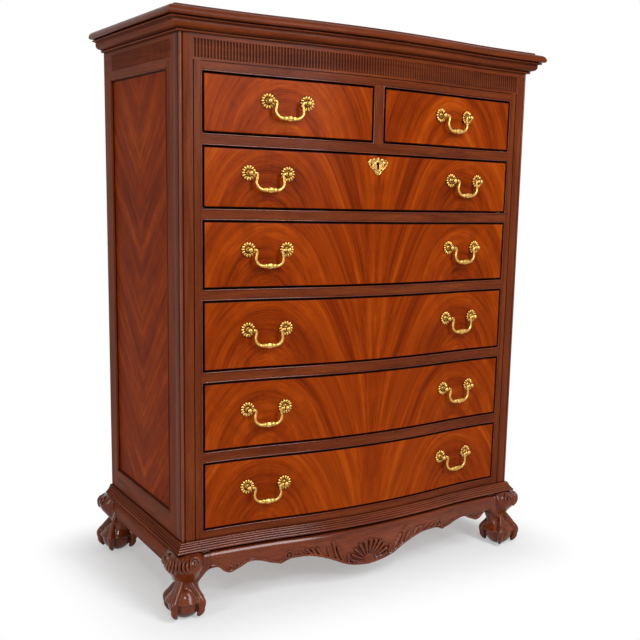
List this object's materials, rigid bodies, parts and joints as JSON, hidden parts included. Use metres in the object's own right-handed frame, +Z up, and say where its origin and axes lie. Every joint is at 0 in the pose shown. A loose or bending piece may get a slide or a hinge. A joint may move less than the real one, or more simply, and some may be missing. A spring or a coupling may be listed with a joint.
{
  "type": "chest of drawers",
  "caption": "Tall serpentine-front chest of drawers with fluted frieze, moulded cornice, carved apron, ball and claw feet, sliding drawers and swinging brass bail pulls.",
  "frame": {"origin": "on the floor, under the middle of the whole outline", "axes": "+Z up, -Y out of the drawer fronts, +X to the right of a person who faces the drawers"},
  "size_m": [1.0182, 0.5965, 1.3225],
  "materials": {
    "frame_wood": "polished reddish brown mahogany, glossy lacquer",
    "veneer": "flame mahogany veneer, glossy lacquer",
    "secondary_wood": "plain planed poplar, thin matt sealer",
    "brass": "cast brass, polished on the high spots, darker in the hollows",
    "lock_steel": "plain satin steel"
  },
  "bodies": {
    "case": {"top_board": "frame_wood", "cornice_moulding": "frame_wood", "fluted_frieze": "frame_wood", "left_corner_post": "frame_wood", "right_corner_post": "frame_wood", "left_side_frame": "frame_wood", "right_side_frame": "frame_wood", "left_side_panel": "veneer", "right_side_panel": "veneer", "face_frame": "frame_wood", "centre_divider": "frame_wood", "drawer_runners": "secondary_wood", "dust_panels": "secondary_wood", "back_panel": "secondary_wood", "base_moulding_frame": "frame_wood", "front_apron": "frame_wood", "left_apron": "frame_wood", "right_apron": "frame_wood", "rear_apron": "secondary_wood", "glue_blocks": "secondary_wood", "front_left_leg": "frame_wood", "front_right_leg": "frame_wood", "rear_left_leg": "frame_wood", "rear_right_leg": "frame_wood"},
    "top_left_drawer": {"top_left_drawer_front": "veneer", "top_left_drawer_box": "secondary_wood", "top_left_drawer_pull_posts": "brass"},
    "top_left_drawer_bail_body": {"top_left_drawer_bail": "brass"},
    "top_right_drawer": {"top_right_drawer_front": "veneer", "top_right_drawer_box": "secondary_wood", "top_right_drawer_pull_posts": "brass"},
    "top_right_drawer_bail_body": {"top_right_drawer_bail": "brass"},
    "long_drawer_1": {"long_drawer_1_front": "veneer", "long_drawer_1_box": "secondary_wood", "long_drawer_1_pull_posts": "brass", "escutcheon": "brass", "lock_case": "lock_steel"},
    "long_drawer_1_left_bail_body": {"long_drawer_1_left_bail": "brass"},
    "long_drawer_1_right_bail_body": {"long_drawer_1_right_bail": "brass"},
    "long_drawer_2": {"long_drawer_2_front": "veneer", "long_drawer_2_box": "secondary_wood", "long_drawer_2_pull_posts": "brass"},
    "long_drawer_2_left_bail_body": {"long_drawer_2_left_bail": "brass"},
    "long_drawer_2_right_bail_body": {"long_drawer_2_right_bail": "brass"},
    "long_drawer_3": {"long_drawer_3_front": "veneer", "long_drawer_3_box": "secondary_wood", "long_drawer_3_pull_posts": "brass"},
    "long_drawer_3_left_bail_body": {"long_drawer_3_left_bail": "brass"},
    "long_drawer_3_right_bail_body": {"long_drawer_3_right_bail": "brass"},
    "long_drawer_4": {"long_drawer_4_front": "veneer", "long_drawer_4_box": "secondary_wood", "long_drawer_4_pull_posts": "brass"},
    "long_drawer_4_left_bail_body": {"long_drawer_4_left_bail": "brass"},
    "long_drawer_4_right_bail_body": {"long_drawer_4_right_bail": "brass"},
    "long_drawer_5": {"long_drawer_5_front": "veneer", "long_drawer_5_box": "secondary_wood", "long_drawer_5_pull_posts": "brass"},
    "long_drawer_5_left_bail_body": {"long_drawer_5_left_bail": "brass"},
    "long_drawer_5_right_bail_body": {"long_drawer_5_right_bail": "brass"},
    "lock_bolt_body": {"lock_bolt": "lock_steel"}
  },
  "joints": [
    {"name": "top_left_drawer_slide", "type": "slide", "parent": "case", "child": "top_left_drawer", "axis": [0, -1, 0], "range_m": [0, 0.36]},
    {"name": "top_left_drawer_bail_swing", "type": "hinge", "parent": "top_left_drawer", "child": "top_left_drawer_bail_body", "pos_m": [-0.23033, -0.26221, 1.1465], "axis": [-0.9906, 0.1368, 0], "range_deg": [-12, 100]},
    {"name": "top_right_drawer_slide", "type": "slide", "parent": "case", "child": "top_right_drawer", "axis": [0, -1, 0], "range_m": [0, 0.36]},
    {"name": "top_right_drawer_bail_swing", "type": "hinge", "parent": "top_right_drawer", "child": "top_right_drawer_bail_body", "pos_m": [0.23033, -0.26221, 1.1465], "axis": [-0.9906, -0.1368, 0], "range_deg": [-12, 100]},
    {"name": "long_drawer_1_slide", "type": "slide", "parent": "case", "child": "long_drawer_1", "axis": [0, -1, 0], "range_m": [0, 0.36]},
    {"name": "long_drawer_1_left_bail_swing", "type": "hinge", "parent": "long_drawer_1", "child": "long_drawer_1_left_bail_body", "pos_m": [-0.27285, -0.25694, 0.99225], "axis": [-0.994, 0.1091, 0], "range_deg": [-12, 100]},
    {"name": "long_drawer_1_right_bail_swing", "type": "hinge", "parent": "long_drawer_1", "child": "long_drawer_1_right_bail_body", "pos_m": [0.27285, -0.25694, 0.99225], "axis": [-0.994, -0.1091, 0], "range_deg": [-12, 100]},
    {"name": "long_drawer_2_slide", "type": "slide", "parent": "case", "child": "long_drawer_2", "axis": [0, -1, 0], "range_m": [0, 0.36]},
    {"name": "long_drawer_2_left_bail_swing", "type": "hinge", "parent": "long_drawer_2", "child": "long_drawer_2_left_bail_body", "pos_m": [-0.27285, -0.25694, 0.8265], "axis": [-0.994, 0.1091, 0], "range_deg": [-12, 100]},
    {"name": "long_drawer_2_right_bail_swing", "type": "hinge", "parent": "long_drawer_2", "child": "long_drawer_2_right_bail_body", "pos_m": [0.27285, -0.25694, 0.8265], "axis": [-0.994, -0.1091, 0], "range_deg": [-12, 100]},
    {"name": "long_drawer_3_slide", "type": "slide", "parent": "case", "child": "long_drawer_3", "axis": [0, -1, 0], "range_m": [0, 0.36]},
    {"name": "long_drawer_3_left_bail_swing", "type": "hinge", "parent": "long_drawer_3", "child": "long_drawer_3_left_bail_body", "pos_m": [-0.27285, -0.25694, 0.6485], "axis": [-0.994, 0.1091, 0], "range_deg": [-12, 100]},
    {"name": "long_drawer_3_right_bail_swing", "type": "hinge", "parent": "long_drawer_3", "child": "long_drawer_3_right_bail_body", "pos_m": [0.27285, -0.25694, 0.6485], "axis": [-0.994, -0.1091, 0], "range_deg": [-12, 100]},
    {"name": "long_drawer_4_slide", "type": "slide", "parent": "case", "child": "long_drawer_4", "axis": [0, -1, 0], "range_m": [0, 0.36]},
    {"name": "long_drawer_4_left_bail_swing", "type": "hinge", "parent": "long_drawer_4", "child": "long_drawer_4_left_bail_body", "pos_m": [-0.27285, -0.25694, 0.4665], "axis": [-0.994, 0.1091, 0], "range_deg": [-12, 100]},
    {"name": "long_drawer_4_right_bail_swing", "type": "hinge", "parent": "long_drawer_4", "child": "long_drawer_4_right_bail_body", "pos_m": [0.27285, -0.25694, 0.4665], "axis": [-0.994, -0.1091, 0], "range_deg": [-12, 100]},
    {"name": "long_drawer_5_slide", "type": "slide", "parent": "case", "child": "long_drawer_5", "axis": [0, -1, 0], "range_m": [0, 0.36]},
    {"name": "long_drawer_5_left_bail_swing", "type": "hinge", "parent": "long_drawer_5", "child": "long_drawer_5_left_bail_body", "pos_m": [-0.27285, -0.25694, 0.285], "axis": [-0.994, 0.1091, 0], "range_deg": [-12, 100]},
    {"name": "long_drawer_5_right_bail_swing", "type": "hinge", "parent": "long_drawer_5", "child": "long_drawer_5_right_bail_body", "pos_m": [0.27285, -0.25694, 0.285], "axis": [-0.994, -0.1091, 0], "range_deg": [-12, 100]},
    {"name": "lock_bolt_slide", "type": "slide", "parent": "long_drawer_1", "child": "lock_bolt_body", "axis": [0, 0, 1], "range_m": [0, 0.008]}
  ]
}
